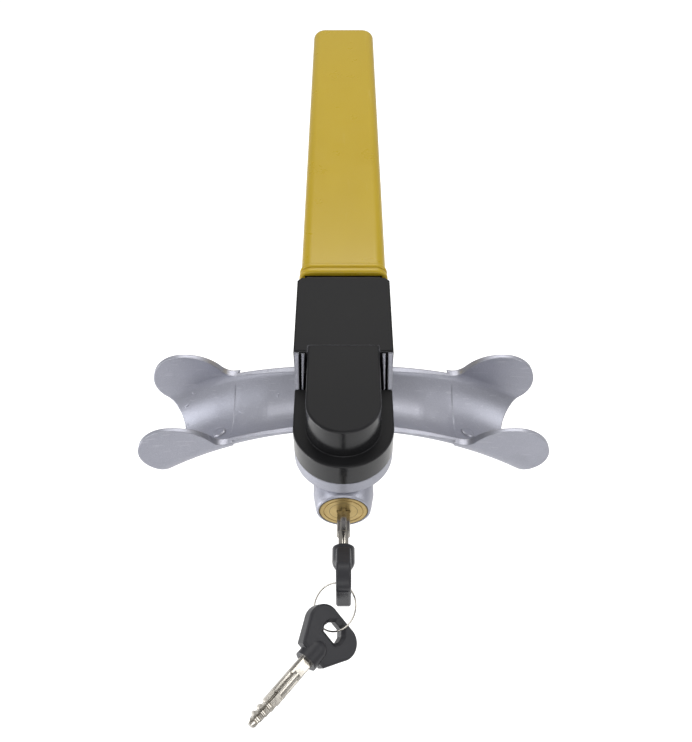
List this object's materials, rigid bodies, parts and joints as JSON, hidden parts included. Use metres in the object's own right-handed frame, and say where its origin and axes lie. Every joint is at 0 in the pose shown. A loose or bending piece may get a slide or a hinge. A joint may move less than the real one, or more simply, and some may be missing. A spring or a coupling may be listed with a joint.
{
  "type": "steering wheel lock",
  "caption": "Steering-wheel bar lock: a curved gutter casting holds the rim, a hinged jaw carrying a long padded bar closes over it, and a barrel key lock bolts the jaw shut.",
  "frame": {"origin": "centre of the channel that holds the wheel rim, on the symmetry plane of the bar", "axes": "+X along the rim, +Y along the bar to its far end, +Z out of the front of the closed jaw"},
  "size_m": [0.2074, 0.4963, 0.0766],
  "materials": {
    "casting": "satin silver-grey paint on a die casting",
    "steel": "plain steel",
    "brass": "turned brass, satin",
    "black_plastic": "satin black moulding",
    "yellow_vinyl": "soft gloss yellow vinyl",
    "nickel": "bright nickel plate",
    "rubber": "black rubber",
    "black_paint": "black paint"
  },
  "bodies": {
    "clamp": {"clamp_casting": "casting", "trough_plugs": "casting", "hinge_pin": "steel", "hinge_washers": "steel", "cylinder_shell": "brass", "cylinder_pin": "steel", "spring_strip": "brass", "driver_pins": "brass", "pin_springs": "steel", "bolt_cover": "steel", "bolt_cover_screws": "steel"},
    "bar_and_jaw": {"jaw_plate": "casting", "jaw_shell": "black_plastic", "striker": "steel", "striker_rivets": "steel", "jaw_pad": "rubber", "plate_screws": "steel", "bar_core": "steel", "bar_rivets": "steel", "bar_sleeve": "yellow_vinyl", "neck_ring": "black_paint"},
    "plug": {"lock_plug": "brass", "crank": "steel", "crank_screw": "steel", "key_pins": "brass"},
    "bolt": {"lock_bolt": "steel"},
    "key": {"key_blade": "nickel", "key_bow": "black_plastic"},
    "ring": {"key_ring": "nickel"},
    "spare_key": {"spare_key_blade": "nickel", "spare_key_bow": "black_plastic"}
  },
  "joints": [
    {"name": "jaw_hinge", "type": "hinge", "parent": "clamp", "child": "bar_and_jaw", "pos_m": [0, 0.0255, 0.009], "axis": [-1, 0, 0], "range_deg": [0, 50]},
    {"name": "plug_turn", "type": "hinge", "parent": "clamp", "child": "plug", "pos_m": [0, -0.055, -0.0055], "axis": [0, -1, 0], "range_deg": [0, 90]},
    {"name": "bolt_slide", "type": "slide", "parent": "clamp", "child": "bolt", "axis": [1, 0, 0], "range_m": [0, 0.00552]},
    {"name": "key_withdraw", "type": "slide", "parent": "plug", "child": "key", "axis": [0, -1, 0], "range_m": [0, 0.032]},
    {"name": "key_ring_swing", "type": "hinge", "parent": "key", "child": "ring", "pos_m": [0, -0.1041, -0.0055], "axis": [1, 0, 0], "range_deg": [-8, 8]},
    {"name": "spare_key_swing", "type": "hinge", "parent": "ring", "child": "spare_key", "pos_m": [-0.00522, -0.12257, -0.01343], "axis": [0.8747, -0.2573, 0.4107], "range_deg": [-8, 8]}
  ],
  "couplings": [
    {"joint": "bolt_slide", "follows": "plug_turn", "m_per_rad": 0.003511}
  ]
}
